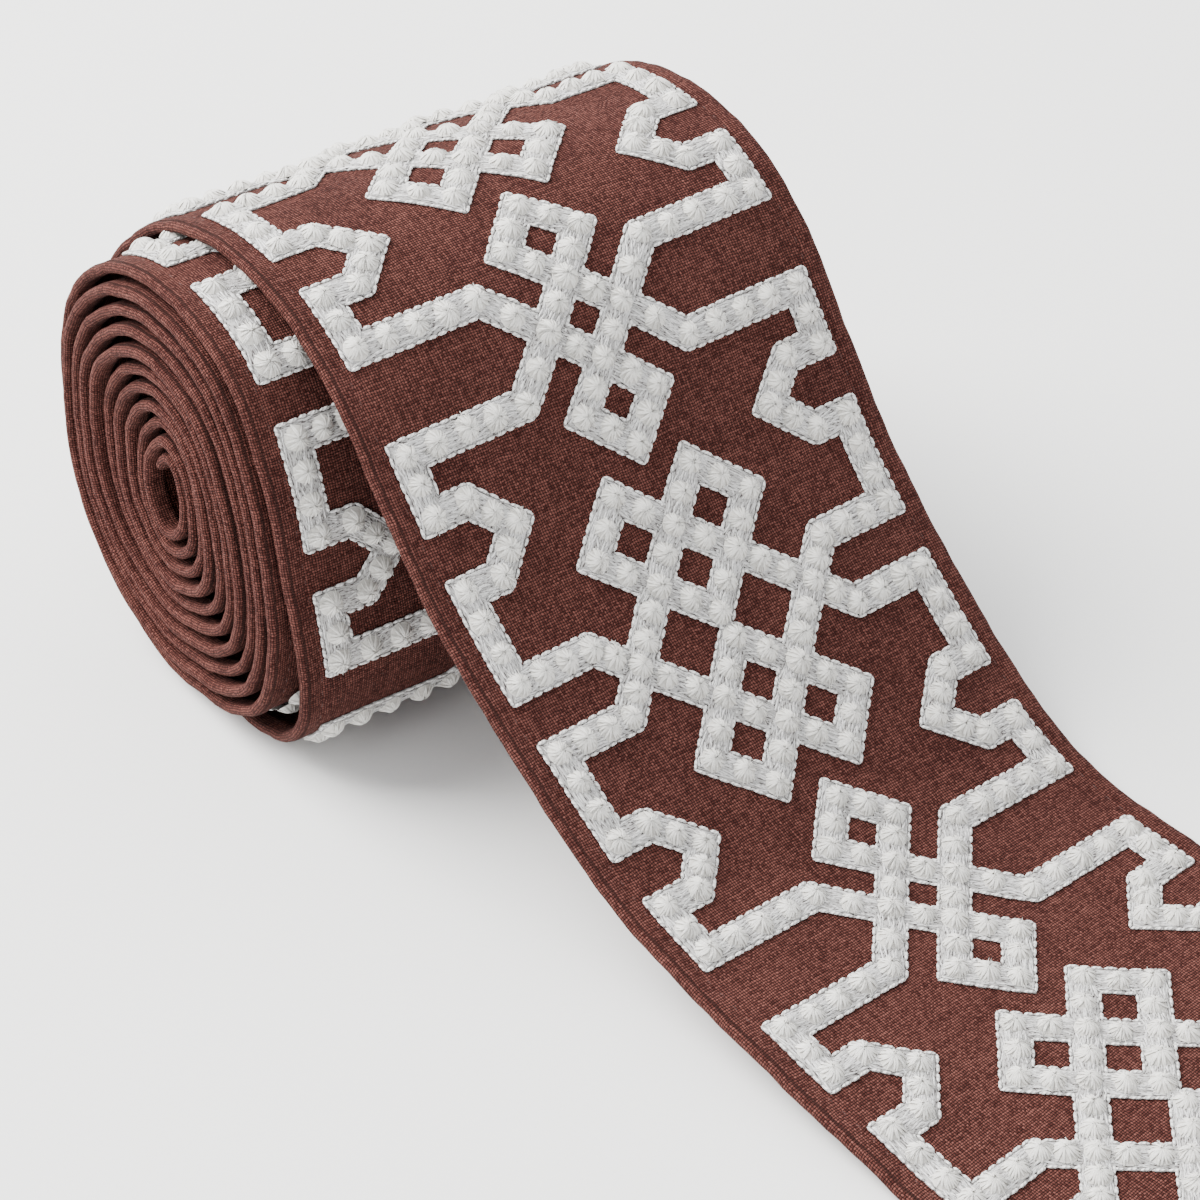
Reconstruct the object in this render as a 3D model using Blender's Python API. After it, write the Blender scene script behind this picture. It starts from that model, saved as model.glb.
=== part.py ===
"""Knotted tape trim: a roll of woven tape whose loose end runs over the roll and down to the table.

X runs along the roll's axis, Y away from the loose end, Z up. The table is at Z = 0 and the
origin is at the middle of the whole part's footprint. Sizes are in millimetres until a mesh
is made, and in metres from there.
"""
import math
from collections import namedtuple

import bpy

MM = 0.001

# The tape
TAPE_WIDTH = 95.0
TAPE_THICKNESS = 2.0
GAP = 0.3

# The wound roll, seen on its left end: clock angles start at the back and go up over the top
TURNS = 11
STEPS_A_TURN = 48
CORE_HALF_WIDTH = 4.3
CORE_HALF_HEIGHT = 7.3
CORE_BACK = 1.0
CORE_RISE = -1.3
ROLL_CENTRE_Z = 41.3
HEM_DEPTH = 1.5

# clock: angle, radius: outside of the last turn, slack: how far that turn bags out there
Spoke = namedtuple("Spoke", "clock radius slack")
ROLL_SPOKES = [
    Spoke(0, 39.6, 4.3),
    Spoke(30, 42.3, 1.2),
    Spoke(42, 42.8, 0.0),
    Spoke(60, 43.2, 0.0),
    Spoke(90, 43.7, 0.0),
    Spoke(120, 43.4, 0.0),
    Spoke(150, 38.8, 0.0),
    Spoke(180, 38.4, 0.0),
    Spoke(210, 43.6, 3.2),
    Spoke(225, 45.8, 3.0),
    Spoke(240, 45.2, 1.2),
    Spoke(255, 43.2, 0.4),
    Spoke(270, 43.0, 0.2),
    Spoke(285, 41.9, 0.5),
    Spoke(300, 41.8, 3.0),
    Spoke(330, 41.2, 6.6),
]

# turns: counted back from where the tape lifts off, left: X of the tape's left edge there
START_DRIFT = -3.1
Edge = namedtuple("Edge", "turns left")
ROLL_EDGES = [
    Edge(0.0, START_DRIFT - TAPE_WIDTH / 2),
    Edge(0.25, -56.4),
    Edge(0.4, -59.2),
    Edge(0.5, -60.6),
    Edge(0.6, -61.8),
    Edge(0.7, -62.5),
    Edge(0.8, -62.9),
    Edge(1.0, -63.2),
    Edge(2.0, -64.0),
    Edge(4.0, -64.4),
    Edge(8.0, -63.4),
    Edge(12.0, -62.4),
]
EDGE_UNEVEN = 0.35

# The loose end: along is measured down the tape from the crest of the roll, slope is the fall
# towards the front, skew the turn to the right, tilt the rise of the right edge, in degrees
CREST_Y = -4.3
CREST_Z = 86.2
LOOSE_END = 245.0
ACROSS_STEPS = 8
ALONG_STEPS = 57
SETTLE = 1.5
# how far the folds lie aslant where the tape turns to the right, as a share of the turn
FOLD_SLANT = 1.41
Fold = namedtuple("Fold", "along slope skew tilt")
LOOSE_FOLDS = [
    Fold(-40, -46.0, 0.0, 0.0),
    Fold(-20, -23.0, 0.0, 0.2),
    Fold(0, 0.0, 0.2, 0.3),
    Fold(20, 26.0, 0.8, 0.3),
    Fold(40, 50.0, 1.8, -0.7),
    Fold(60, 51.0, 3.0, -2.3),
    Fold(80, 42.0, 4.2, -4.0),
    Fold(100, 38.5, 5.2, -6.0),
    Fold(120, 32.0, 5.7, -7.0),
    Fold(140, 12.5, 5.7, -6.5),
    Fold(160, 7.0, 5.7, -5.4),
    Fold(180, 4.0, 6.4, -3.6),
    Fold(200, 4.0, 7.0, -1.5),
    Fold(250, 3.0, 7.0, 0.0),
]

# The colour of the cloth, as the pieces' base colour
CLOTH_BROWN = (0.155, 0.062, 0.052, 1.0)
CLOTH_ROUGHNESS = 0.9


def read_table(rows, key, column, at):
    """Read a column of a table on a smooth curve through its rows."""
    keys = [getattr(row, key) for row in rows]
    values = [getattr(row, column) for row in rows]
    if at <= keys[0]:
        return values[0]
    if at >= keys[-1]:
        return values[-1]
    i = max(k for k in range(len(keys) - 1) if keys[k] <= at)
    slopes = []
    for k in (i, i + 1):
        low, high = max(k - 1, 0), min(k + 1, len(keys) - 1)
        slopes.append((values[high] - values[low]) / (keys[high] - keys[low]))
    span = keys[i + 1] - keys[i]
    t = (at - keys[i]) / span
    bend = t * t * (3 - 2 * t)
    curve = values[i] * (1 - bend) + values[i + 1] * bend
    return curve + span * (slopes[0] * t * (1 - t) ** 2 - slopes[1] * t * t * (1 - t))


def loose_path():
    """Walk down the loose end in short steps and keep its centre line."""
    step = 1.0
    start = int(LOOSE_FOLDS[0].along)
    stations = {}
    for direction in (-1, 1):
        along, y, z, x = 0.0, CREST_Y, CREST_Z, 0.0
        stations[0] = (x, y, z)
        last = -start if direction < 0 else int(LOOSE_END) + 15
        for _ in range(last):
            middle = along + direction * step / 2
            slope = math.radians(read_table(LOOSE_FOLDS, "along", "slope", middle))
            skew = math.radians(read_table(LOOSE_FOLDS, "along", "skew", middle))
            y -= direction * step * math.cos(slope)
            z -= direction * step * math.sin(slope)
            x += direction * step * math.sin(skew)
            along += direction * step
            stations[round(along)] = (x, y, z)
    shift = START_DRIFT - stations[start][0]
    return {along: (x + shift, y, z) for along, (x, y, z) in stations.items()}


PATH = loose_path()
_, LIFT_Y, LIFT_Z = PATH[LOOSE_FOLDS[0].along]
LIFT_CLOCK = math.degrees(math.atan2(LIFT_Z - ROLL_CENTRE_Z, LIFT_Y))
LIFT_RADIUS = math.hypot(LIFT_Z - ROLL_CENTRE_Z, LIFT_Y)


def path_point(along):
    """The centre line at any distance along the loose end."""
    low = max(min(math.floor(along), max(PATH) - 1), min(PATH))
    share = along - low
    return tuple(a + (b - a) * share for a, b in zip(PATH[low], PATH[low + 1]))


def settled(z):
    """Height of the tape's face where the table may hold it up, eased into the table."""
    above = z - TAPE_THICKNESS
    if above > SETTLE:
        return z
    if above < -SETTLE:
        return TAPE_THICKNESS
    return TAPE_THICKNESS + (above + SETTLE) ** 2 / (4 * SETTLE)


def loose_point(along, across):
    """A point of the loose end's upper face."""
    skew = math.radians(read_table(LOOSE_FOLDS, "along", "skew", along))
    tilt = math.radians(read_table(LOOSE_FOLDS, "along", "tilt", along))
    _, y, z = path_point(along - FOLD_SLANT * skew * across)
    x = path_point(along)[0] + across
    return x, y, settled(z + math.tan(tilt) * across)


def loose_underside(along, across):
    """The point of the lower face below it, square to the cloth."""
    ahead, behind = loose_point(along + 1, across), loose_point(along - 1, across)
    right, left = loose_point(along, across + 1), loose_point(along, across - 1)
    u = [a - b for a, b in zip(ahead, behind)]
    v = [a - b for a, b in zip(right, left)]
    normal = (u[1] * v[2] - u[2] * v[1], u[2] * v[0] - u[0] * v[2], u[0] * v[1] - u[1] * v[0])
    size = math.hypot(*normal)
    side = 1 if normal[2] > 0 else -1
    point = loose_point(along, across)
    x, y, z = (p - side * TAPE_THICKNESS * n / size for p, n in zip(point, normal))
    return x, y, max(z, 0.0)


def around(column, clock):
    """Read a column of the roll's spokes, which close on themselves after a full circle."""
    lap = [spoke._replace(clock=spoke.clock + 360 * k) for k in (-1, 0, 1) for spoke in ROLL_SPOKES]
    return read_table(lap, "clock", column, clock % 360)


def wound_point(turns_back, inner=False):
    """Y and Z of the tape's outer face in the roll, a number of turns back from the lift-off."""
    clock = LIFT_CLOCK - 360 * turns_back
    c, s = math.cos(math.radians(clock)), math.sin(math.radians(clock))
    core = 1 / math.hypot(c / CORE_HALF_WIDTH, s / CORE_HALF_HEIGHT)
    wound = 1 - turns_back / TURNS
    radius = core if inner else core + (around("radius", clock) - core) * wound
    if turns_back < 1:
        radius += around("slack", clock)
    y = radius * c + CORE_BACK * (1 - wound)
    z = ROLL_CENTRE_Z + radius * s + CORE_RISE * (1 - wound)
    return y, max(z, 0.0)


def wound_left(turns_back):
    """X of the tape's left edge in the roll: the turns are a little uneven."""
    ripple = math.sin(2.3 * turns_back) + math.sin(7.1 * turns_back + 1.0)
    hold = min(turns_back, 1.0)
    return read_table(ROLL_EDGES, "turns", "left", turns_back) + EDGE_UNEVEN * ripple * hold


def roll_mesh():
    """Points and faces of the wound roll: two end faces that follow the hems, and their walls."""
    total = TURNS * STEPS_A_TURN - STEPS_A_TURN // 2
    last_back = GAP / (2 * math.pi * LIFT_RADIUS)
    backs = [last_back + (total - i) / STEPS_A_TURN for i in range(total + 1)]
    outer = [wound_point(back) for back in backs]
    rim = [wound_point(back, inner=True) for back in backs[:STEPS_A_TURN]]
    inner = rim + outer[:total + 1 - STEPS_A_TURN]
    lefts = [wound_left(back) for back in backs]
    points, faces = [], []

    def add(x, yz):
        points.append((x, *yz))
        return len(points) - 1

    for side in (0, 1):
        edge = [left + side * TAPE_WIDTH for left in lefts]
        valley = (1 - 2 * side) * HEM_DEPTH
        rims = [add(edge[i] + valley, rim[i]) for i in range(STEPS_A_TURN)]
        outs = [add(edge[i] + valley, outer[i]) for i in range(total + 1)]
        ins = rims + outs
        ridges = []
        for i in range(total + 1):
            middle = [(a + b) / 2 for a, b in zip(inner[i], outer[i])]
            ridges.append(add(edge[i], middle))
        for i in range(total):
            for near, far in ((ins, ridges), (ridges, outs)):
                quad = (near[i], near[i + 1], far[i + 1], far[i])
                faces.append(quad if side == 0 else quad[::-1])
        outline = outs[total - STEPS_A_TURN:] + [ridges[total]]
        bore = rims + [outs[0], ridges[0]]
        if side == 0:
            left_outline, left_bore = outline, bore
    for near, far in ((left_outline, outline), (bore, left_bore)):
        for i in range(len(near)):
            k = (i + 1) % len(near)
            faces.append((near[i], near[k], far[k], far[i]))
    return points, faces


def loose_mesh():
    """Points and faces of the loose end: an upper and a lower face joined round the edge."""
    start = LOOSE_FOLDS[0].along
    stations = [start + (LOOSE_END - start) * i / ALONG_STEPS for i in range(ALONG_STEPS + 1)]
    offsets = [TAPE_WIDTH * (k / ACROSS_STEPS - 0.5) for k in range(ACROSS_STEPS + 1)]
    upper = [loose_point(along, across) for along in stations for across in offsets]
    lower = [loose_underside(along, across) for along in stations for across in offsets]
    width = ACROSS_STEPS + 1
    under = len(upper)
    faces = []
    for i in range(ALONG_STEPS):
        for k in range(ACROSS_STEPS):
            a = i * width + k
            faces.append((a, a + width, a + width + 1, a + 1))
            faces.append((under + a, under + a + 1, under + a + width + 1, under + a + width))
    left = [i * width for i in range(ALONG_STEPS + 1)]
    right = [a + ACROSS_STEPS for a in left]
    end = [left[-1] + k for k in range(width)]
    rim = left + end[1:] + right[-2::-1] + list(range(ACROSS_STEPS - 1, 0, -1))
    for a, b in zip(rim, rim[1:] + rim[:1]):
        faces.append((a, under + a, under + b, b))
    return upper + lower, faces


def cloth():
    """The material of the tape."""
    material = bpy.data.materials.new("brown_linen")
    material.use_nodes = True
    shader = material.node_tree.nodes["Principled BSDF"]
    shader.inputs["Base Color"].default_value = CLOTH_BROWN
    shader.inputs["Roughness"].default_value = CLOTH_ROUGHNESS
    shader.inputs["Metallic"].default_value = 0.0
    material.diffuse_color = CLOTH_BROWN
    return material


def build():
    """Make both pieces, with the origin at the middle of their common footprint."""
    for old in list(bpy.data.objects):
        bpy.data.objects.remove(old)
    pieces = {"wound_roll": roll_mesh(), "loose_end": loose_mesh()}
    everything = [point for points, _ in pieces.values() for point in points]
    middle = [(min(c) + max(c)) / 2 for c in zip(*everything)]
    material = cloth()
    for name, (points, faces) in pieces.items():
        mesh = bpy.data.meshes.new(name)
        moved = [((x - middle[0]) * MM, (y - middle[1]) * MM, z * MM) for x, y, z in points]
        mesh.from_pydata(moved, [], faces)
        mesh.validate()
        mesh.materials.append(material)
        mesh.shade_smooth()
        mesh.set_sharp_from_angle(angle=math.radians(35))
        piece = bpy.data.objects.new(name, mesh)
        bpy.context.scene.collection.objects.link(piece)


build()
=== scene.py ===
"""Knotted tape trim: the looks of the wound tape, its hems, its knotwork in thread and its wool tufts.

The tape is one long sheet. A place on it is given by along, the distance in millimetres down the
tape from the crest of the roll towards the loose end, and across, the distance to the right of its
middle. Every thread is laid out on the flat tape first and then carried onto the wound cloth.
"""
import math
from collections import namedtuple

import bpy
import numpy as np
from mathutils import Matrix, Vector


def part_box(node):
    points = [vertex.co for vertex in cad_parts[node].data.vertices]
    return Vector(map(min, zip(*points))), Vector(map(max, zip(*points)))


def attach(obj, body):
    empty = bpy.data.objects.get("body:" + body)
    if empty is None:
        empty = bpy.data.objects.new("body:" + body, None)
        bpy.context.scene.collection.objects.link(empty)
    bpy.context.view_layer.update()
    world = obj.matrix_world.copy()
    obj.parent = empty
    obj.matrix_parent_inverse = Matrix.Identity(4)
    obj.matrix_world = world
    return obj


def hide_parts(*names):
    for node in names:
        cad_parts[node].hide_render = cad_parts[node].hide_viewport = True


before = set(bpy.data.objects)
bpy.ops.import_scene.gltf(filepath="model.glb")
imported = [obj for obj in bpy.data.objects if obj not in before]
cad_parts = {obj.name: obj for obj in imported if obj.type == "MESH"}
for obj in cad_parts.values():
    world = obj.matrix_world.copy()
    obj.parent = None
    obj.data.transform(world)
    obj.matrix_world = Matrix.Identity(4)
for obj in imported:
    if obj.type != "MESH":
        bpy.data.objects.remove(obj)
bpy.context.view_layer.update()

MM = 0.001
BODY = "root"
chance = np.random.default_rng(23)

# The tape, with the same numbers as its solids
TAPE_WIDTH = 95.0
TAPE_THICKNESS = 2.0
HALF_WIDTH = TAPE_WIDTH / 2

# The wound roll, seen on its left end: clock angles start at the back and go up over the top
TURNS = 11
CORE_HALF_WIDTH = 4.3
CORE_HALF_HEIGHT = 7.3
CORE_BACK = 1.0
CORE_RISE = -1.3
ROLL_CENTRE_Z = 41.3

# clock: angle, radius: outside of the last turn, slack: how far that turn bags out there
Spoke = namedtuple("Spoke", "clock radius slack")
ROLL_SPOKES = [
    Spoke(0, 39.6, 4.3),
    Spoke(30, 42.3, 1.2),
    Spoke(42, 42.8, 0.0),
    Spoke(60, 43.2, 0.0),
    Spoke(90, 43.7, 0.0),
    Spoke(120, 43.4, 0.0),
    Spoke(150, 38.8, 0.0),
    Spoke(180, 38.4, 0.0),
    Spoke(210, 43.6, 3.2),
    Spoke(225, 45.8, 3.0),
    Spoke(240, 45.2, 1.2),
    Spoke(255, 43.2, 0.4),
    Spoke(270, 43.0, 0.2),
    Spoke(285, 41.9, 0.5),
    Spoke(300, 41.8, 3.0),
    Spoke(330, 41.2, 6.6),
]

# turns: counted back from where the tape lifts off, left: X of the tape's left edge there
START_DRIFT = -3.1
Edge = namedtuple("Edge", "turns left")
ROLL_EDGES = [
    Edge(0.0, START_DRIFT - HALF_WIDTH),
    Edge(0.25, -56.4),
    Edge(0.4, -59.2),
    Edge(0.5, -60.6),
    Edge(0.6, -61.8),
    Edge(0.7, -62.5),
    Edge(0.8, -62.9),
    Edge(1.0, -63.2),
    Edge(2.0, -64.0),
    Edge(4.0, -64.4),
    Edge(8.0, -63.4),
    Edge(12.0, -62.4),
]
EDGE_UNEVEN = 0.35

# The loose end: slope is the fall towards the front, skew the turn to the right, tilt the rise
# of the right edge, in degrees
CREST_Y = -4.3
CREST_Z = 86.2
LOOSE_END = 245.0
SETTLE = 1.5
FOLD_SLANT = 1.41
Fold = namedtuple("Fold", "along slope skew tilt")
LOOSE_FOLDS = [
    Fold(-40, -46.0, 0.0, 0.0),
    Fold(-20, -23.0, 0.0, 0.2),
    Fold(0, 0.0, 0.2, 0.3),
    Fold(20, 26.0, 0.8, 0.3),
    Fold(40, 50.0, 1.8, -0.7),
    Fold(60, 51.0, 3.0, -2.3),
    Fold(80, 42.0, 4.2, -4.0),
    Fold(100, 38.5, 5.2, -6.0),
    Fold(120, 32.0, 5.7, -7.0),
    Fold(140, 12.5, 5.7, -6.5),
    Fold(160, 7.0, 5.7, -5.4),
    Fold(180, 4.0, 6.4, -3.6),
    Fold(200, 4.0, 7.0, -1.5),
    Fold(250, 3.0, 7.0, 0.0),
]
LIFT = LOOSE_FOLDS[0].along

# The cloth and its hems
CLOTH_DEPTH = 0.95
HEM_WIDTH = 3.7
HEM_STEP = 0.5
HEM_CROWN = 0.12
SEAM_DEPTH = 0.12
SEAM_WIDTH = 0.5
PUCKER = 0.2
RIPPLE = 0.1
THREAD_PITCH = 0.48
HEM_STITCH_PITCH = 3.1
HEM_STITCH = 1.3
HEM_STITCH_START = -560.0
FLOOR_CLEAR = 0.02
FACE_STEP = 0.4

# The knotwork: all sizes are in units of UNIT, from the middle of a knot
UNIT = 5.254
HALF_REPEAT = 10.672
BORDER = 7.664
BORDER_IN = 5.109
BIG_STEP = 1.552
BIG_REACH = 5.137
SMALL_STEP = 1.428
BIG_RUN = 1.203
SMALL_RUN = 1.759
STEP_TOP = 4.416
STEP_IN = 5.699
STEP_FOOT = 6.92
FIRST_BIG_KNOT = -22.1
BAND_HALF = 2.72
BAND_HEIGHT = 0.62
BAND_FOOT = 0.25
OVER_LIFT = 0.38
TUFT_SPACING = 1.07
TUFT_RADIUS = 2.3
TUFT_HEIGHT = 1.3
TUFT_FOOT = 0.55
STITCH = 2.05
FILL_CLOSE = 5.0
FILL_WIDTH = 0.36
STRAND_WIDTH = 0.46
FUZZ = 5
PATTERN_START = -430.0
PATTERN_END = 244.0
FRONT_START = 100.0


def smooth_read(rows, column, at):
    """Read a column of a table on a smooth curve through its rows, at many places at once."""
    keys = np.array([row[0] for row in rows], float)
    values = np.array([getattr(row, column) for row in rows], float)
    at = np.clip(np.asarray(at, float), keys[0], keys[-1])
    order = np.arange(len(keys))
    before = np.maximum(order - 1, 0)
    after = np.minimum(order + 1, len(keys) - 1)
    slopes = (values[after] - values[before]) / (keys[after] - keys[before])
    i = np.clip(np.searchsorted(keys, at, side="right") - 1, 0, len(keys) - 2)
    span = keys[i + 1] - keys[i]
    t = (at - keys[i]) / span
    bend = t * t * (3 - 2 * t)
    curve = values[i] * (1 - bend) + values[i + 1] * bend
    return curve + span * (slopes[i] * t * (1 - t) ** 2 - slopes[i + 1] * t * t * (1 - t))


def walk_loose_end():
    """Centre line of the loose end, in steps of one millimetre."""
    alongs = np.arange(LIFT, LOOSE_END + 16.0)
    middles = alongs[:-1] + 0.5
    slope = np.radians(smooth_read(LOOSE_FOLDS, "slope", middles))
    skew = np.radians(smooth_read(LOOSE_FOLDS, "skew", middles))
    x = np.concatenate([[0.0], np.cumsum(np.sin(skew))]) + START_DRIFT
    y = np.concatenate([[0.0], np.cumsum(-np.cos(slope))])
    z = np.concatenate([[0.0], np.cumsum(-np.sin(slope))])
    crest = -LIFT
    return alongs, x, y - y[crest] + CREST_Y, z - z[crest] + CREST_Z


PATH_ALONG, PATH_X, PATH_Y, PATH_Z = walk_loose_end()
LIFT_CLOCK = math.degrees(math.atan2(PATH_Z[0] - ROLL_CENTRE_Z, PATH_Y[0]))
LIFT_RADIUS = math.hypot(PATH_Z[0] - ROLL_CENTRE_Z, PATH_Y[0])


def loose_face(along, across):
    """Points of the loose end's upper face."""
    skew = np.radians(smooth_read(LOOSE_FOLDS, "skew", along))
    tilt = np.radians(smooth_read(LOOSE_FOLDS, "tilt", along))
    place = along - FOLD_SLANT * skew * across
    x = np.interp(along, PATH_ALONG, PATH_X) + across
    y = np.interp(place, PATH_ALONG, PATH_Y)
    z = np.interp(place, PATH_ALONG, PATH_Z) + np.tan(tilt) * across
    above = np.clip(z - TAPE_THICKNESS, -SETTLE, SETTLE)
    settled = TAPE_THICKNESS + (above + SETTLE) ** 2 / (4 * SETTLE)
    z = np.where(z - TAPE_THICKNESS > SETTLE, z, settled)
    return np.stack([x, y, z], axis=-1)


def wound_line(turns_back):
    """X of the left edge, Y and Z of the tape's outer face in the roll."""
    clock = LIFT_CLOCK - 360 * turns_back
    lap = [spoke._replace(clock=spoke.clock + 360 * k) for k in (-1, 0, 1) for spoke in ROLL_SPOKES]
    c, s = np.cos(np.radians(clock)), np.sin(np.radians(clock))
    core = 1 / np.hypot(c / CORE_HALF_WIDTH, s / CORE_HALF_HEIGHT)
    wound = 1 - turns_back / TURNS
    radius = core + (smooth_read(lap, "radius", clock % 360) - core) * wound
    radius = radius + np.where(turns_back < 1, smooth_read(lap, "slack", clock % 360), 0.0)
    start = smooth_read(lap, "radius", LIFT_CLOCK % 360)
    radius = radius + (LIFT_RADIUS - start) * np.clip(1 - turns_back / 0.12, 0, 1)
    y = radius * c + CORE_BACK * (1 - wound)
    z = np.maximum(ROLL_CENTRE_Z + radius * s + CORE_RISE * (1 - wound), 0.0)
    ripple = np.sin(2.3 * turns_back) + np.sin(7.1 * turns_back + 1.0)
    left = smooth_read(ROLL_EDGES, "left", turns_back)
    return left + EDGE_UNEVEN * ripple * np.minimum(turns_back, 1.0), y, z


WOUND_TURNS = np.linspace(0, TURNS - 0.02, TURNS * 720)
WOUND_X, WOUND_Y, WOUND_Z = wound_line(WOUND_TURNS)
WOUND_LENGTH = np.concatenate([[0.0], np.cumsum(np.hypot(np.diff(WOUND_Y), np.diff(WOUND_Z)))])
TAPE_START = LIFT - WOUND_LENGTH[-1]

# The part's own frame is the roll's, moved so that the footprint's middle is the origin
LOOSE_LOW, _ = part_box("loose_end")
FRONT_EDGE = loose_face(np.array([LOOSE_END]), np.array([-HALF_WIDTH]))[0]
SHIFT_X = LOOSE_LOW.x / MM - (START_DRIFT - HALF_WIDTH)
SHIFT_Y = LOOSE_LOW.y / MM - FRONT_EDGE[1]
SHIFT = np.array([SHIFT_X, SHIFT_Y, 0.0])


def tape_face(along, across):
    """Points of the smooth outer face of the whole tape."""
    along, across = np.broadcast_arrays(np.asarray(along, float), np.asarray(across, float))
    back = np.clip(LIFT - along, 0, WOUND_LENGTH[-1])
    wound = [np.interp(back, WOUND_LENGTH, line) for line in (WOUND_X, WOUND_Y, WOUND_Z)]
    wound[0] = wound[0] + HALF_WIDTH + across
    loose = loose_face(np.maximum(along, LIFT), across)
    return np.where((along < LIFT)[..., None], np.stack(wound, axis=-1), loose) + SHIFT


def tape_frame(along, across):
    """Points of the outer face and the directions out of it."""
    step = FACE_STEP
    down = tape_face(along + step, across) - tape_face(along - step, across)
    right = tape_face(along, across + step) - tape_face(along, across - step)
    out = np.cross(down, right)
    out /= np.linalg.norm(out, axis=-1, keepdims=True)
    return tape_face(along, across), out


def waver(along, seed):
    """A slow uneven swing between about -1 and 1 along the tape."""
    turns = np.random.default_rng(seed).uniform(0, 6.28, 4)
    swing = np.sin(along * 0.31 + turns[0]) + 0.8 * np.sin(along * 0.53 + turns[1])
    return (swing + 0.7 * np.sin(along * 0.83 + turns[2]) + 0.5 * np.sin(along * 1.27 + turns[3])) / 2.4


def unevenness(along, across):
    """How far the cloth stands out of its smooth face: puckered hems and a faint ripple."""
    near_left = np.exp(-((HALF_WIDTH + across) / 4.0) ** 2)
    near_right = np.exp(-((HALF_WIDTH - across) / 4.0) ** 2)
    pucker = PUCKER * (near_left * waver(along, 1) + near_right * waver(along, 2))
    ripple = np.sin(along * 0.21 + across * 0.09) * np.sin(across * 0.17 + along * 0.05)
    return pucker + RIPPLE * ripple


def on_tape(places):
    """Carry places (along, across, height) onto the wound cloth, in metres."""
    along, across, height = places[..., 0], places[..., 1], places[..., 2]
    point, out = tape_frame(along, across)
    lifted = point + out * (height + unevenness(along, across))[..., None]
    lifted[..., 2] = np.maximum(lifted[..., 2], FLOOR_CLEAR)
    return lifted * MM


def make_piece(name, points, faces, uvs, material):
    """Make a piece from points, faces of one size each, and one uv a point."""
    mesh = bpy.data.meshes.new(name)
    points = np.asarray(points, np.float32).reshape(-1, 3)
    groups = [np.asarray(group, np.int32) for group in faces if len(group)]
    corners = np.concatenate([group.ravel() for group in groups])
    sizes = np.concatenate([np.full(len(group), group.shape[1], np.int32) for group in groups])
    mesh.vertices.add(len(points))
    mesh.vertices.foreach_set("co", points.ravel())
    mesh.loops.add(len(corners))
    mesh.loops.foreach_set("vertex_index", corners)
    mesh.polygons.add(len(sizes))
    mesh.polygons.foreach_set("loop_start", np.concatenate([[0], np.cumsum(sizes)[:-1]]))
    mesh.update(calc_edges=True)
    layer = mesh.uv_layers.new(name="flat")
    layer.data.foreach_set("uv", np.asarray(uvs, np.float32)[corners].ravel())
    mesh.validate()
    mesh.shade_smooth()
    mesh.materials.append(material)
    piece = bpy.data.objects.new(name, mesh)
    bpy.context.scene.collection.objects.link(piece)
    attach(piece, BODY)
    return piece


# Shader values as plain expressions
class Value:
    """A shader socket that can be added, multiplied and compared."""

    def __init__(self, tree, socket):
        self.tree = tree
        self.socket = socket

    def math(self, operation, *others):
        inputs = dict(enumerate((self, *others)))
        return make_node(self.tree, "ShaderNodeMath", {"operation": operation}, inputs)

    def __add__(self, other):
        return self.math("ADD", other)

    __radd__ = __add__

    def __mul__(self, other):
        return self.math("MULTIPLY", other)

    __rmul__ = __mul__

    def __sub__(self, other):
        return self.math("SUBTRACT", other)

    def __rsub__(self, other):
        return (self * -1.0) + other

    def __truediv__(self, other):
        return self.math("DIVIDE", other)

    def __gt__(self, other):
        return self.math("GREATER_THAN", other)

    def floor(self):
        return self.math("FLOOR")

    def part(self):
        return self.math("FRACT")

    def between(self, low, high):
        """0 below low, 1 above high and a straight rise between."""
        inputs = {0: self, 1: low, 2: high, 3: 0.0, 4: 1.0}
        return make_node(self.tree, "ShaderNodeMapRange", {"clamp": True}, inputs)


def make_node(tree, kind, settings=None, inputs=None, output=0):
    """Add a node: its settings first, then the values or links of its sockets."""
    node = tree.nodes.new(kind)
    for key, value in (settings or {}).items():
        setattr(node, key, value)
    for key, value in (inputs or {}).items():
        if isinstance(value, Value):
            tree.links.new(value.socket, node.inputs[key])
        else:
            node.inputs[key].default_value = value
    return Value(tree, node.outputs[output])


class Finish:
    """A material with a Principled shader."""

    def __init__(self, name, **constants):
        self.material = bpy.data.materials.new(name)
        self.material.use_nodes = True
        self.tree = self.material.node_tree
        self.shader = self.tree.nodes["Principled BSDF"]
        for key, value in constants.items():
            self.shader.inputs[key.replace("_", " ")].default_value = value

    def feed(self, socket, value):
        self.tree.links.new(value.socket, self.shader.inputs[socket])

    def flat(self):
        """Place on the flat piece, from its uv, as two values."""
        uv = make_node(self.tree, "ShaderNodeUVMap", {"uv_map": "flat"})
        split = self.tree.nodes.new("ShaderNodeSeparateXYZ")
        self.tree.links.new(uv.socket, split.inputs[0])
        return Value(self.tree, split.outputs[0]), Value(self.tree, split.outputs[1])

    def vector(self, x, y, z=0.0):
        return make_node(self.tree, "ShaderNodeCombineXYZ", {}, {0: x, 1: y, 2: z})

    def noise(self, vector, scale, detail=2.0, roughness=0.5):
        inputs = {"Vector": vector, "Scale": scale, "Detail": detail, "Roughness": roughness}
        return make_node(self.tree, "ShaderNodeTexNoise", {}, inputs)

    def speck(self, vector):
        return make_node(self.tree, "ShaderNodeTexWhiteNoise", {}, {"Vector": vector})

    def blend(self, share, low, high):
        """From colour low to colour high."""
        inputs = {0: share, 6: low, 7: high}
        return make_node(self.tree, "ShaderNodeMix", {"data_type": "RGBA"}, inputs, 2)

    def bump(self, height, distance, strength=1.0):
        inputs = {"Height": height, "Distance": distance, "Strength": strength}
        self.feed("Normal", make_node(self.tree, "ShaderNodeBump", {}, inputs))


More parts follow.
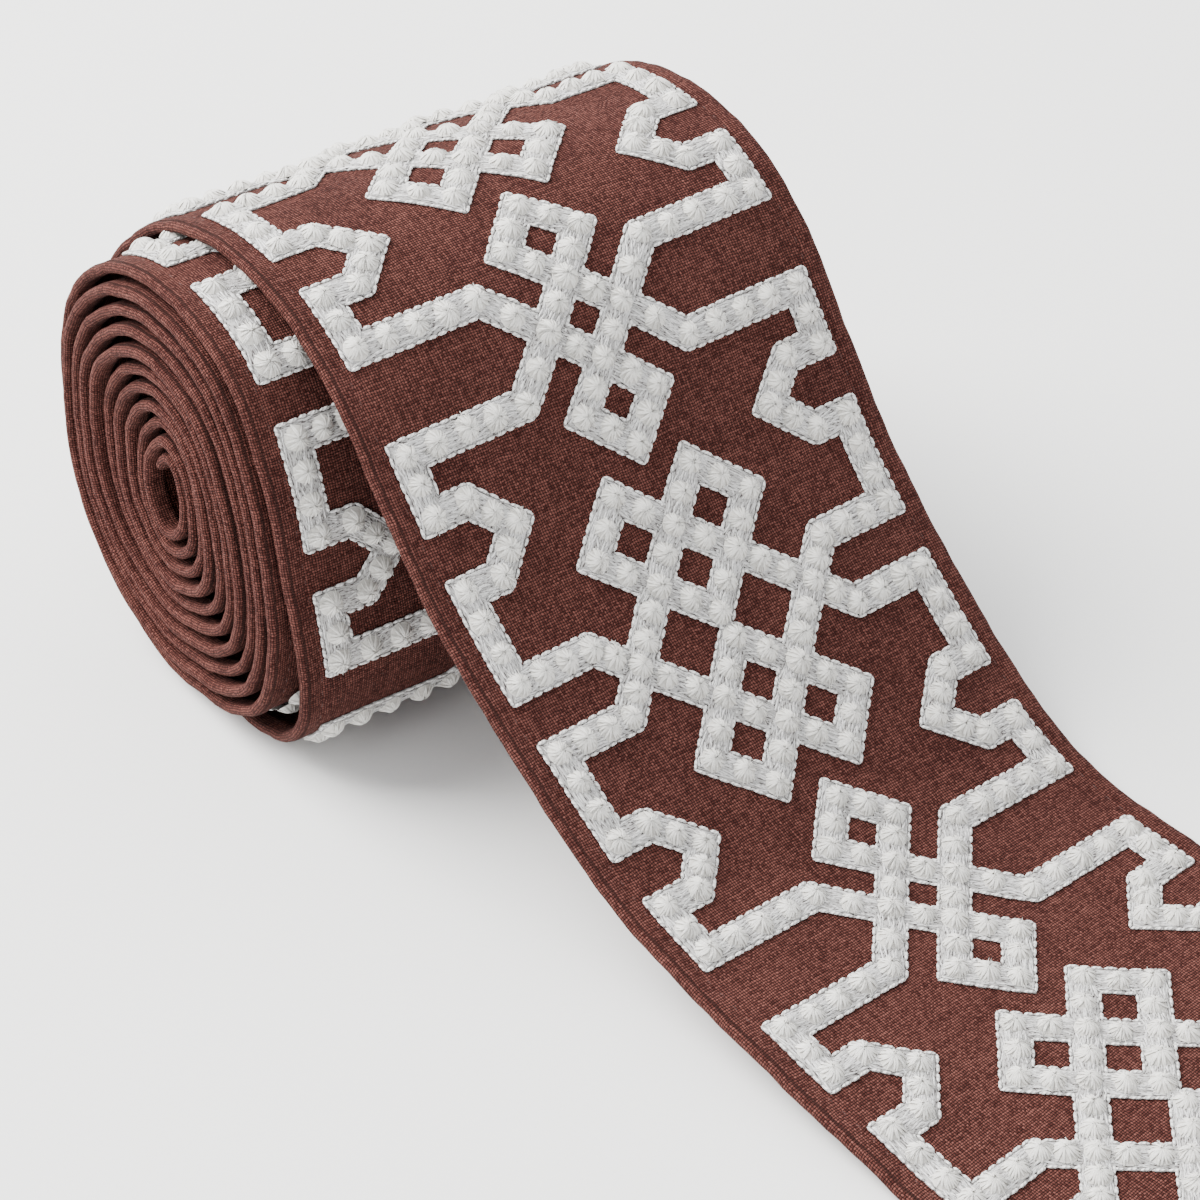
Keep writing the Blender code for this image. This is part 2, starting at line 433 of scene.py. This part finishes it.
# Linen colours. The first is painted shade: the near-black brown put in the weave's gaps, down the threads'
# sides and in the hem thread's grooves. Body and light are the threads' own tones, mixed at random.
LINEN_PAINTED_SHADE = (0.0080, 0.0018, 0.0014, 1.0)
LINEN_BODY = (0.052, 0.0125, 0.0095, 1.0)
LINEN_LIGHT = (0.200, 0.072, 0.057, 1.0)


def linen():
    """Plain woven linen: round threads over and under, each a little different."""
    finish = Finish("brown_linen", Roughness=0.9, Specular_IOR_Level=0.12)
    across, along = finish.flat()
    sway = finish.noise(finish.vector(across, along), 0.35, 2.0)
    u = across / THREAD_PITCH + (sway - 0.5) * 1.2
    v = along / THREAD_PITCH + (sway - 0.5) * 1.6
    warp, weft = u.floor(), v.floor()
    odd = ((warp + weft) * 0.5).part() > 0.25
    side_u = u.part() * 2.0 - 1.0
    side_v = v.part() * 2.0 - 1.0
    round_u = 1.0 - side_u * side_u
    round_v = 1.0 - side_v * side_v
    warp_top = round_u * (round_v * 0.45 + 0.55)
    weft_top = round_v * (round_u * 0.45 + 0.55)
    height = warp_top * odd + weft_top * (1.0 - odd)
    warp_shade = finish.noise(finish.vector(warp * 7.3, along * 0.11), 1.0, 1.0)
    weft_shade = finish.noise(finish.vector(across * 0.11, weft * 7.3, 40.0), 1.0, 1.0)
    shade = warp_shade * odd + weft_shade * (1.0 - odd)
    stitch_shade = finish.speck(finish.vector(warp, weft))
    cloud = finish.noise(finish.vector(across, along), 0.06, 3.0)
    tone = (shade - 0.5) * 1.2 + (stitch_shade - 0.5) * 0.7 + (cloud - 0.5) * 0.5 + 0.42
    body = finish.blend(tone.between(0.0, 1.0), LINEN_BODY, LINEN_LIGHT)
    # Painted shade: where the weave is low, in the gaps and down the threads' sides, the colour falls to the
    # near-black brown.
    finish.feed("Base Color", finish.blend(height.between(0.15, 0.9), LINEN_PAINTED_SHADE, body))
    fibre = finish.noise(finish.vector(across * 6.0, along * 6.0), 1.0, 2.0)
    finish.bump(height + (shade - 0.5) * 0.5 + (fibre - 0.5) * 0.3, 0.0002)
    return finish.material


def hem_thread():
    """Sewing thread of the hems, a little lighter than the linen."""
    finish = Finish("brown_sewing_thread", Roughness=0.7, Specular_IOR_Level=0.35)
    around, along = finish.flat()
    ply = ((along * 1.6 + around * 2.0).part() * 2.0 - 1.0)
    twist = 1.0 - ply * ply
    # Painted shade: the grooves between the twisted plies go to the near-black linen brown.
    finish.feed("Base Color", finish.blend(twist, LINEN_PAINTED_SHADE, (0.10, 0.034, 0.027, 1.0)))
    finish.bump(twist, 0.0001)
    return finish.material


def silver_thread():
    """Shiny pale embroidery thread of two plies, as used for the edge stitches."""
    finish = Finish("silver_thread", Roughness=0.42, Specular_IOR_Level=0.6)
    finish.shader.inputs["Sheen Weight"].default_value = 0.15
    around, along = finish.flat()
    ply = (along * 1.3 + around * 2.0).part() * 2.0 - 1.0
    twist = 1.0 - ply * ply
    fleck = finish.noise(finish.vector(around * 2.0, along * 2.2), 1.0, 2.0)
    # Partly painted shade: the grooves between the plies come out darker grey. The rest of the grey is flecks
    # that fall at random.
    tone = twist * 0.5 + fleck * 0.9 - 0.25
    finish.feed("Base Color", finish.blend(tone.between(-0.05, 0.5), (0.24, 0.23, 0.23, 1.0),
                                           (0.80, 0.79, 0.775, 1.0)))
    finish.bump(twist, 0.00012)
    return finish.material


def fill_thread():
    """Fine crossed threads between the stitch rows."""
    finish = Finish("silver_fill_thread", Roughness=0.36, Specular_IOR_Level=0.6)
    around, along = finish.flat()
    fleck = finish.noise(finish.vector(around * 3.0, along * 1.4), 1.0, 2.0)
    finish.feed("Base Color", finish.blend(fleck.between(0.3, 0.5), (0.16, 0.15, 0.15, 1.0),
                                           (0.72, 0.71, 0.70, 1.0)))
    finish.bump(fleck, 0.0001)
    return finish.material


def ground_thread():
    """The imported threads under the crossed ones, with the dark gaps between them."""
    finish = Finish("silver_ground_thread", Roughness=0.5, Specular_IOR_Level=0.5)
    across, along = finish.flat()
    tone = finish.noise(finish.vector(across * 4.5, along * 1.1), 1.0, 2.0)
    finish.feed("Base Color", finish.blend(tone.between(0.36, 0.5), (0.03, 0.02, 0.02, 1.0),
                                           (0.45, 0.44, 0.43, 1.0)))
    finish.bump(tone, 0.0003)
    return finish.material


def wool_yarn():
    """Soft off-white wool of the tufts: fine fibres that run out from the middle."""
    finish = Finish("off_white_wool", Roughness=0.9, Specular_IOR_Level=0.2)
    finish.shader.inputs["Sheen Weight"].default_value = 0.12
    finish.shader.inputs["Sheen Roughness"].default_value = 0.6
    around, out = finish.flat()
    fibre = finish.noise(finish.vector(around * 5.0, out * 1.2), 1.0, 3.0)
    # Painted shade: each strand is darkest at its two sides and lightest along its middle, as a round strand
    # is lit. The fibre noise adds random tone.
    side = around.part() * 2.0 - 1.0
    tone = (1.0 - side * side).between(0.0, 0.7) * 0.6 + fibre.between(0.3, 0.6) * 0.4
    finish.feed("Base Color", finish.blend(tone, (0.36, 0.335, 0.30, 1.0), (0.92, 0.905, 0.86, 1.0)))
    finish.bump(tone, 0.00012)
    return finish.material


def floor_paper():
    """The pale tabletop."""
    finish = Finish("pale_table", Roughness=0.85, Specular_IOR_Level=0.3)
    grain = finish.noise(make_node(finish.tree, "ShaderNodeTexCoord", {}, {}, 3), 900.0, 2.0)
    finish.feed("Base Color", finish.blend(grain, (0.90, 0.90, 0.895, 1.0), (0.93, 0.93, 0.925, 1.0)))
    return finish.material


# Camera: where it stands in the roll's frame, its compass and height angles and its roll
CAMERA_AT = np.array([-353.3, -523.3, 481.9])
CAMERA_COMPASS = 53.96
CAMERA_DOWN = 37.85
CAMERA_ROLL = 1.34
CAMERA_LENS = 131.85
SENSOR = 36.0


def place_camera():
    """The camera at the photo's angle."""
    compass, down, roll = (math.radians(a) for a in (CAMERA_COMPASS, CAMERA_DOWN, CAMERA_ROLL))
    flat = math.cos(down)
    ahead = np.array([flat * math.cos(compass), flat * math.sin(compass), -math.sin(down)])
    level = np.array([math.sin(compass), -math.cos(compass), 0.0])
    above = np.cross(level, ahead)
    right = math.cos(roll) * level + math.sin(roll) * above
    up = math.cos(roll) * above - math.sin(roll) * level
    data = bpy.data.cameras.new("photo_camera")
    data.lens = CAMERA_LENS
    data.sensor_width = SENSOR
    data.clip_start = 0.05
    data.clip_end = 20.0
    camera = bpy.data.objects.new("photo_camera", data)
    bpy.context.scene.collection.objects.link(camera)
    turn = np.eye(4)
    turn[:3, 0] = right
    turn[:3, 1] = up
    turn[:3, 2] = -ahead
    turn[:3, 3] = (CAMERA_AT + SHIFT) * MM
    camera.matrix_world = Matrix(turn.tolist())
    bpy.context.scene.camera = camera


def place_lamp(name, at, aim, size, power, colour=(1.0, 1.0, 1.0)):
    """A soft square lamp that looks at a point."""
    data = bpy.data.lights.new(name, "AREA")
    data.shape = "SQUARE"
    data.size = size
    data.energy = power
    data.color = colour
    lamp = bpy.data.objects.new(name, data)
    bpy.context.scene.collection.objects.link(lamp)
    back = np.array(at, float) - np.array(aim, float)
    back /= np.linalg.norm(back)
    side = np.cross([0.0, 0.0, 1.0], back)
    side /= np.linalg.norm(side)
    turn = np.eye(4)
    turn[:3, 0] = side
    turn[:3, 1] = np.cross(back, side)
    turn[:3, 2] = back
    turn[:3, 3] = at
    lamp.matrix_world = Matrix(turn.tolist())


def place_stage():
    """Pale floor, soft light from behind and the left, and a pale surround."""
    size = 4.0
    mesh = bpy.data.meshes.new("floor")
    corners = [(-size, -size, 0), (size, -size, 0), (size, size, 0), (-size, size, 0)]
    mesh.from_pydata(corners, [], [(0, 1, 2, 3)])
    mesh.materials.append(floor_paper())
    floor = bpy.data.objects.new("floor", mesh)
    bpy.context.scene.collection.objects.link(floor)
    place_lamp("window", (-0.85, 1.15, 1.35), (0.0, 0.0, 0.03), 1.4, 130.0, (1.0, 0.985, 0.96))
    world = bpy.data.worlds.new("pale_room")
    world.use_nodes = True
    world.node_tree.nodes["Background"].inputs["Color"].default_value = (0.98, 0.99, 1.0, 1.0)
    world.node_tree.nodes["Background"].inputs["Strength"].default_value = 1.55
    bpy.context.scene.world = world


def cloth_section():
    """Outline of the tape's cross-section: across, height, and length round it, from the left edge."""
    hem = HALF_WIDTH - HEM_WIDTH
    near = np.array([0.35, 1.0, 1.8, 2.4, 2.9, 3.3, 3.7, 4.1, 4.6, 5.4])
    edge_in = TAPE_THICKNESS / 2
    right = HALF_WIDTH - edge_in - near
    middle = np.linspace(-right[-1], right[-1], 15)
    top = np.concatenate([-right[:-1], middle, right[:-1][::-1]])
    crown = HEM_CROWN * np.sin(np.pi * np.clip((np.abs(top) - hem) / HEM_WIDTH, 0, 1))
    seam = SEAM_DEPTH * np.exp(-((np.abs(top) - hem) / SEAM_WIDTH) ** 2)
    top_height = crown - seam
    depth = CLOTH_DEPTH + (TAPE_THICKNESS - CLOTH_DEPTH) * np.clip((np.abs(top) - hem) / HEM_STEP + 0.5, 0, 1)
    round_angle = np.radians(np.linspace(90, -90, 9))
    edge_across = HALF_WIDTH - edge_in + edge_in * np.cos(round_angle)
    edge_height = -edge_in + edge_in * np.sin(round_angle)
    across = np.concatenate([top, edge_across, top[::-1], -edge_across[::-1]])
    height = np.concatenate([top_height, edge_height, -depth[::-1], edge_height[::-1]])
    length = np.concatenate([[0.0], np.cumsum(np.hypot(np.diff(across), np.diff(height)))])
    return across, height, length + across[0], len(top), len(round_angle)


def tape_stations():
    """Distances along the tape at which its section is laid, closer where it bends more."""
    stations = [LOOSE_END]
    while stations[-1] > TAPE_START + 0.4:
        along = stations[-1]
        if along > LIFT:
            step = 1.4
        else:
            turns = np.interp(LIFT - along, WOUND_LENGTH, WOUND_TURNS)
            step = np.clip(0.09 * (1 - turns / TURNS) * 40 + 0.45, 0.8, 1.9)
        stations.append(along - step)
    stations[-1] = TAPE_START
    return np.array(stations[::-1])


def make_cloth(material):
    """The whole tape as one thin sheet."""
    across, height, length, tops, rounds = cloth_section()
    along = tape_stations()
    rows, ring = len(along), len(across)
    places = np.empty((rows, ring, 3))
    places[..., 0] = along[:, None]
    places[..., 1] = across
    places[..., 2] = height
    index = np.arange(rows * ring).reshape(rows, ring)
    here, beside = index[:-1], np.roll(index[:-1], -1, axis=1)
    ahead, ahead_beside = index[1:], np.roll(index[1:], -1, axis=1)
    quads = np.stack([here, ahead, ahead_beside, beside], axis=-1).reshape(-1, 4)
    caps = np.stack([index[0], index[-1][::-1]])
    uvs = np.stack([np.broadcast_to(length, (rows, ring)), places[..., 0]], axis=-1).reshape(-1, 2)
    cloth = make_piece("tape_cloth", on_tape(places), [quads, caps], uvs, material)
    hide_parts("wound_roll", "loose_end")
    return cloth


def knot_loop():
    """One closed strand of the knotwork, from a small knot at 0 to a big knot at HALF_REPEAT."""
    s, a, c = SMALL_STEP, BIG_STEP, BIG_REACH
    small = [(-BORDER, SMALL_RUN), (-s - SMALL_RUN, SMALL_RUN), (-s, 0), (0, -s), (s, -2 * s), (0, -3 * s)]
    small = small + [(-s, -2 * s), (0, -s), (s, 0), (s + SMALL_RUN, SMALL_RUN), (BORDER, SMALL_RUN)]
    step = [(BORDER, STEP_FOOT), (BORDER_IN + STEP_FOOT - STEP_IN, STEP_FOOT), (BORDER_IN, STEP_IN)]
    step = step + [(BORDER_IN + STEP_IN - STEP_TOP, STEP_TOP), (BORDER, STEP_TOP)]
    step = [(x, HALF_REPEAT - y) for x, y in step]
    half = [(-BORDER, -BIG_RUN), (a - c - BIG_RUN, -BIG_RUN), (a - c, 0), (-a, c - 2 * a), (0, c - a)]
    half = half + [(a, c), (2 * a, c - a), (a, c - 2 * a), (0, c - 3 * a)]
    big = half + [(-x, y) for x, y in half[-2::-1]]
    big = [(x, y + HALF_REPEAT) for x, y in big]
    return small + step + big[::-1] + [(-x, y) for x, y in step[::-1]]


def all_loops():
    """Every strand on the tape, in millimetres, as arrays of (along, across)."""
    loop = np.array(knot_loop())
    loops = []
    first = math.floor((PATTERN_START - FIRST_BIG_KNOT) / (2 * HALF_REPEAT * UNIT)) - 1
    for repeat in range(first, first + 12):
        centre = FIRST_BIG_KNOT + 2 * HALF_REPEAT * UNIT * repeat
        before = centre + (loop[:, 1] - HALF_REPEAT) * UNIT
        after = centre - (loop[:, 1] - HALF_REPEAT) * UNIT
        for along in (before, after):
            loops.append(np.stack([along, loop[:, 0] * UNIT], axis=1))
    return loops


def is_shown(along):
    return (along > PATTERN_START) & (along < PATTERN_END)


class Strand:
    """A closed band: its corners, its mitred edges, and the tufts from each corner to the next."""

    def __init__(self, corners):
        self.corners = corners
        ahead = np.roll(corners, -1, axis=0) - corners
        self.lengths = np.linalg.norm(ahead, axis=1)
        self.ahead = ahead / self.lengths[:, None]
        before = np.roll(self.ahead, 1, axis=0)
        left_now = np.stack([-self.ahead[:, 1], self.ahead[:, 0]], axis=1)
        left_before = np.stack([-before[:, 1], before[:, 0]], axis=1)
        mitre = left_now + left_before
        mitre = mitre / np.sum(mitre * left_now, axis=1, keepdims=True)
        self.mitre = mitre * BAND_HALF
        self.straight = np.sum(before * self.ahead, axis=1) > 0.99
        self.intervals = np.maximum(1, np.round(self.lengths / (TUFT_SPACING * UNIT))).astype(int)


def find_crossings(strands):
    """Places where two strands cross, as an array of (along, across)."""
    seen = {}
    for strand in strands:
        for corner, straight in zip(strand.corners, strand.straight):
            if straight:
                key = (round(corner[0], 1), round(corner[1], 1))
                seen.setdefault(key, []).append(corner)
    return np.array([corners[0] for corners in seen.values() if len(corners) > 1])


def crossing_lift(along_across, crossings, over):
    """How far a band rises where it passes over another."""
    gap = along_across[:, None, :] - crossings[None]
    near = np.exp(-(np.sum(gap ** 2, axis=-1)) / 9.0)
    return OVER_LIFT * near.max(axis=1) * over


def patch_point(strand, i, f, v):
    """A place on the band between corner i and the next: f along it, v from -1 to 1 across it."""
    k = (i + 1) % len(strand.corners)
    here = strand.corners[i] + v[..., None] * strand.mitre[i]
    there = strand.corners[k] + v[..., None] * strand.mitre[k]
    return here * (1 - f[..., None]) + there * f[..., None]


def band_height(v):
    return BAND_FOOT + BAND_HEIGHT * (1 - v * v)


def segment_over(strand, i):
    """True where the band from corner i on is one of those that pass over: it runs along and left."""
    return strand.ahead[i][0] * strand.ahead[i][1] < -0.1


def make_bands(strands, crossings, material):
    """The padded ground of each band."""
    columns = np.array([-1.0, -0.8, -0.4, 0.0, 0.4, 0.8, 1.0])
    points, quads, uvs, used = [], [], [], 0
    for strand in strands:
        for i in range(len(strand.corners)):
            k = (i + 1) % len(strand.corners)
            if not (is_shown(strand.corners[i][0]) and is_shown(strand.corners[k][0])):
                continue
            steps = max(2, int(round(strand.lengths[i] / 1.4)))
            f, v = np.meshgrid(np.linspace(0, 1, steps + 1), columns, indexing="ij")
            flat = patch_point(strand, i, f, v)
            shape = band_height(v) * np.where(np.abs(v) > 0.99, 0.2, 1.0)
            lift = crossing_lift(flat.reshape(-1, 2), crossings, segment_over(strand, i)).reshape(f.shape)
            places = np.concatenate([flat, (shape + lift - 0.05)[..., None]], axis=-1)
            index = used + np.arange(f.size).reshape(f.shape)
            quad = [index[:-1, :-1], index[1:, :-1], index[1:, 1:], index[:-1, 1:]]
            quads.append(np.stack(quad, axis=-1).reshape(-1, 4)[:, ::-1])
            points.append(places.reshape(-1, 3))
            uvs.append(np.stack([v.ravel() * BAND_HALF, f.ravel() * strand.lengths[i]], axis=1))
            used += f.size
    points = np.concatenate(points)
    return make_piece("knotwork_bands", on_tape(points), [np.concatenate(quads)], np.concatenate(uvs),
                      material)


def thread_pieces(starts, ends, heights, width, height, sides, rings, bow, name, material):
    """Short lengths of thread from starts to ends, each a closed bulged tube, joined in one piece."""
    count = len(starts)
    t = np.linspace(-1, 1, rings)
    swell = np.sqrt(np.clip(1 - np.abs(t) ** 4, 0, 1)) * 0.85 + 0.15
    angle = 2 * np.pi * (np.arange(sides) + 0.5) / sides
    middle = (starts + ends) / 2
    half = (ends - starts) / 2
    reach = np.linalg.norm(half, axis=1, keepdims=True)
    side = np.stack([-half[:, 1], half[:, 0]], axis=1) / reach
    places = np.empty((count, rings, sides, 3))
    flat = middle[:, None, None, :] + half[:, None, None, :] * t[None, :, None, None]
    flat = flat + side[:, None, None, :] * (width / 2 * swell[:, None] * np.cos(angle))[None, ..., None]
    places[..., :2] = flat
    base = heights[:, None, None] if heights.ndim == 1 else heights[:, :, None]
    arch = bow * (1 - t ** 2)
    places[..., 2] = base + arch[None, :, None] + (height / 2 * swell[:, None] * np.sin(angle))[None]
    index = np.arange(count * rings * sides).reshape(count, rings, sides)
    beside = np.roll(index, -1, axis=2)
    quads = np.stack([index[:, :-1], index[:, 1:], beside[:, 1:], beside[:, :-1]], axis=-1).reshape(-1, 4)
    caps = np.concatenate([index[:, 0], index[:, -1][:, ::-1]])
    uvs = np.empty((count, rings, sides, 2))
    uvs[..., 0] = np.arange(sides) / sides + chance.uniform(0, 90, count)[:, None, None]
    uvs[..., 1] = (t[None, :] * reach)[..., None]
    return make_piece(name, on_tape(places).reshape(-1, 3), [quads, caps], uvs.reshape(-1, 2), material)


def clear_of_over(places, crossings, over):
    """False for places of an under band that lie beneath the band crossing over it."""
    if over or not len(crossings):
        return np.ones(len(places), bool)
    gap = places[:, None, :] - crossings[None]
    close = np.sum(gap ** 2, axis=-1) < (2.2 * BAND_HALF) ** 2
    # the over band runs where along and across change in opposite ways
    off_line = np.abs(gap[..., 0] + gap[..., 1]) / math.sqrt(2)
    return ~np.any(close & (off_line < BAND_HALF), axis=1)


def make_edge_stitches(strands, crossings, material):
    """Running stitches down both edges of every band."""
    starts, ends, lifts = [], [], []
    for strand in strands:
        for i in range(len(strand.corners)):
            k = (i + 1) % len(strand.corners)
            if not (is_shown(strand.corners[i][0]) and is_shown(strand.corners[k][0])):
                continue
            over = segment_over(strand, i)
            for side in (-1.0, 1.0):
                here = strand.corners[i] + side * strand.mitre[i]
                there = strand.corners[k] + side * strand.mitre[k]
                reach = np.linalg.norm(there - here)
                count = max(1, int(round(reach / STITCH)))
                cuts = (np.arange(count + 1) / count)
                cuts[1:-1] += chance.uniform(-0.12, 0.12, count - 1) / count
                a = here + (there - here) * cuts[:-1, None]
                b = here + (there - here) * cuts[1:, None]
                spare = (b - a) * 0.02
                middle = (a + b) / 2
                keep = clear_of_over(middle, crossings, over)
                wobble = chance.uniform(-0.09, 0.09, (count, 2))
                starts.append((a + spare + wobble)[keep])
                ends.append((b - spare + chance.uniform(-0.09, 0.09, (count, 2)))[keep])
                lifts.append(crossing_lift(middle, crossings, over)[keep])
    starts, ends, lifts = (np.concatenate(part) for part in (starts, ends, lifts))
    fine = (starts[:, 0] + ends[:, 0]) / 2 > LIFT
    pieces = []
    for name, mask in (("edge_stitches_loose", fine), ("edge_stitches_roll", ~fine)):
        pieces.append(thread_pieces(starts[mask], ends[mask], lifts[mask] + 0.22, 0.62, 0.52, 5, 5, 0.1,
                                    name, material))
    return pieces


def ribbons(lines, width, rise):
    """Ridged strips of yarn along many lines: their points, faces and uvs. Width tapers at both ends."""
    count, rings = lines.shape[:2]
    ahead = np.gradient(lines[..., :2], axis=1)
    ahead /= np.linalg.norm(ahead, axis=-1, keepdims=True) + 1e-9
    side = np.stack([-ahead[..., 1], ahead[..., 0]], axis=-1)
    taper = 0.35 + 0.65 * np.sin(np.pi * np.linspace(0.1, 0.9, rings))
    reach = np.broadcast_to(np.asarray(width), (count,))[:, None] * taper / 2
    places = np.repeat(lines[:, :, None, :], 3, axis=2)
    for column, way in enumerate((-1.0, 0.0, 1.0)):
        places[:, :, column, :2] += side * (way * reach)[..., None]
        places[:, :, column, 2] += rise * (1 - abs(way)) - rise * 0.5 * abs(way)
    index = np.arange(count * rings * 3).reshape(count, rings, 3)
    quads = [index[:, :-1, :-1], index[:, 1:, :-1], index[:, 1:, 1:], index[:, :-1, 1:]]
    lengths = np.linalg.norm(np.diff(lines, axis=1), axis=-1)
    run = np.concatenate([np.zeros((count, 1)), np.cumsum(lengths, axis=1)], axis=1)
    uvs = np.empty((count, rings, 3, 2))
    # Across each strip the uv runs side, middle, side, so the wool shader paints shade down the sides of each
    # strand and a lighter middle.
    uvs[..., 0] = np.array([0.01, 0.5, 0.99]) + chance.integers(0, 90, count)[:, None, None]
    uvs[..., 1] = run[..., None]
    return places.reshape(-1, 3), np.stack(quads, axis=-1).reshape(-1, 4)[:, ::-1], uvs.reshape(-1, 2)


def make_fill(strands, crossings, material):
    """Fine threads laid down the bands between the stitch rows."""
    lines = []
    t = np.linspace(-1, 1, 3)
    for strand in strands:
        for i in range(len(strand.corners)):
            k = (i + 1) % len(strand.corners)
            if not (is_shown(strand.corners[i][0]) and is_shown(strand.corners[k][0])):
                continue
            over = segment_over(strand, i)
            thick = FILL_CLOSE if strand.corners[i][0] > LIFT - 5 else FILL_CLOSE / 2
            count = int(strand.lengths[i] * thick)
            middle = chance.uniform(-0.02, 1.02, count)[:, None]
            half = chance.uniform(0.9, 2.0, count)[:, None] / strand.lengths[i]
            v = chance.uniform(-0.84, 0.84, count)[:, None] + chance.uniform(-0.16, 0.16, (count, 1)) * t
            f = np.clip(middle + half * t, 0, 1)
            flat = patch_point(strand, i, f, v)
            keep = clear_of_over(flat[:, 1], crossings, over)
            lift = crossing_lift(flat[:, 1], crossings, over) + chance.uniform(-0.05, 0.12, count)
            height = band_height(v) + lift[:, None]
            height[:, 0] -= 0.12
            height[:, -1] -= 0.12
            lines.append(np.concatenate([flat, height[..., None]], axis=-1)[keep])
    places, quads, uvs = ribbons(np.concatenate(lines), FILL_WIDTH, 0.1)
    return make_piece("band_fill_threads", on_tape(places), [quads], uvs, material)


def tuft_places(strands):
    """Middles of the wool tufts: at every corner of the strands and evenly between."""
    places = {}
    for strand in strands:
        for i in range(len(strand.corners)):
            k = (i + 1) % len(strand.corners)
            for n in range(strand.intervals[i]):
                f = n / strand.intervals[i]
                place = strand.corners[i] * (1 - f) + strand.corners[k] * f
                if is_shown(place[0]):
                    places[(round(place[0], 1), round(place[1], 1))] = place
    return np.array(list(places.values()))


def make_tufts(flats, lifts, name, strands, steps, material):
    """Domes of wool, covered in strands that run out from the middle and curl over at the rim."""
    count = len(flats)
    size = chance.uniform(0.93, 1.07, count)[:, None, None]
    middle = (flats + chance.uniform(-0.25, 0.25, (count, 2)))[:, None, None, :]
    foot = (lifts + TUFT_FOOT)[:, None, None]

    def dome(r):
        return TUFT_HEIGHT * size * (1 - np.clip(r, 0, 1) ** 2.3) + foot

    def around(r, theta, height):
        out = np.stack([np.cos(theta), np.sin(theta)], axis=-1) * (r * size * TUFT_RADIUS)[..., None]
        return np.concatenate([middle + out, height[..., None]], axis=-1)

    turn = chance.uniform(0, 6.28, (count, 1, 1))
    swirl = chance.uniform(-0.5, 0.5, (count, 1, 1))
    order = np.arange(strands + FUZZ)
    theta = turn + order[None, :, None] / strands * 2 * np.pi
    theta = theta + chance.uniform(-0.12, 0.12, (count, strands + FUZZ, 1))
    loose = (order >= strands)[None, :, None]
    start = chance.uniform(0.0, 0.28, (count, strands + FUZZ, 1))
    stop = chance.uniform(0.84, 1.08, (count, strands + FUZZ, 1)) + loose * 0.22
    share = np.linspace(0, 1, steps + 1)
    bend = swirl + chance.uniform(-0.35, 0.35, (count, strands + FUZZ, 1))
    r = start + (stop - start) * share
    layer = chance.uniform(0.0, 0.16, (count, strands + FUZZ, 1)) + loose * 0.1
    lines = around(r, theta + bend * share, dome(r) + layer)
    width = np.where(order >= strands, 0.1, STRAND_WIDTH) * np.ones((count, 1))
    places, quads, uvs = ribbons(lines.reshape(-1, steps + 1, 3), width.ravel(), 0.13)

    corners, rings = 12, 3
    ring = np.linspace(0, 0.97, rings + 1)[:, None] * np.ones(corners)
    theta = turn + (2 * np.pi * np.arange(corners) / corners)[None, None, :]
    ring = ring[None] * np.ones((count, 1, 1))
    under = around(ring, theta + ring * 0, dome(ring) - 0.08)
    index = len(places) + np.arange(count * (rings + 1) * corners).reshape(count, rings + 1, corners)
    beside = np.roll(index, -1, axis=2)
    core = np.stack([index[:, :-1], index[:, 1:], beside[:, 1:], beside[:, :-1]], axis=-1).reshape(-1, 4)
    # Painted shade: the dome under the strands takes uvs at a strand's very side, so it gets mostly the dark
    # end of the wool's shading and shows as shade between the strands.
    core_uvs = np.stack([theta * 0 + ring * 0.1, ring * 2.3], axis=-1).reshape(-1, 2)
    places = np.concatenate([places, under.reshape(-1, 3)])
    return make_piece(name, on_tape(places), [quads, core], np.concatenate([uvs, core_uvs]), material)


def make_hem_stitches(material):
    """The sewn line that holds each hem."""
    alongs = np.arange(HEM_STITCH_START, LOOSE_END - 2.0, HEM_STITCH_PITCH)
    starts, ends = [], []
    for side in (-1, 1):
        line = side * (HALF_WIDTH - HEM_WIDTH)
        starts.append(np.stack([alongs, np.full(len(alongs), line)], axis=1))
        ends.append(np.stack([alongs + HEM_STITCH, np.full(len(alongs), line)], axis=1))
    starts, ends = np.concatenate(starts), np.concatenate(ends)
    return thread_pieces(starts, ends, np.full(len(starts), -0.1), 0.3, 0.26, 4, 4, 0.0,
                         "hem_stitches", material)


place_camera()
place_stage()
cloth = make_cloth(linen())
strands = [Strand(corners) for corners in all_loops()]
strands = [s for s in strands if is_shown(s.corners[:, 0]).any()]
crossings = find_crossings(strands)
bands = make_bands(strands, crossings, ground_thread())
stitches = make_edge_stitches(strands, crossings, silver_thread())
fill = make_fill(strands, crossings, fill_thread())
flats = tuft_places(strands)
tuft_lift = crossing_lift(flats, crossings, 1.0)
wool = wool_yarn()
on_roll = flats[:, 0] < LIFT
on_front = flats[:, 0] > FRONT_START
between = ~on_roll & ~on_front
for name, share, detail in (("wool_tufts_roll", on_roll, 14), ("wool_tufts_top", between, 24),
                            ("wool_tufts_front", on_front, 24)):
    make_tufts(flats[share], tuft_lift[share], name, detail, 3, wool)
hems = make_hem_stitches(hem_thread())
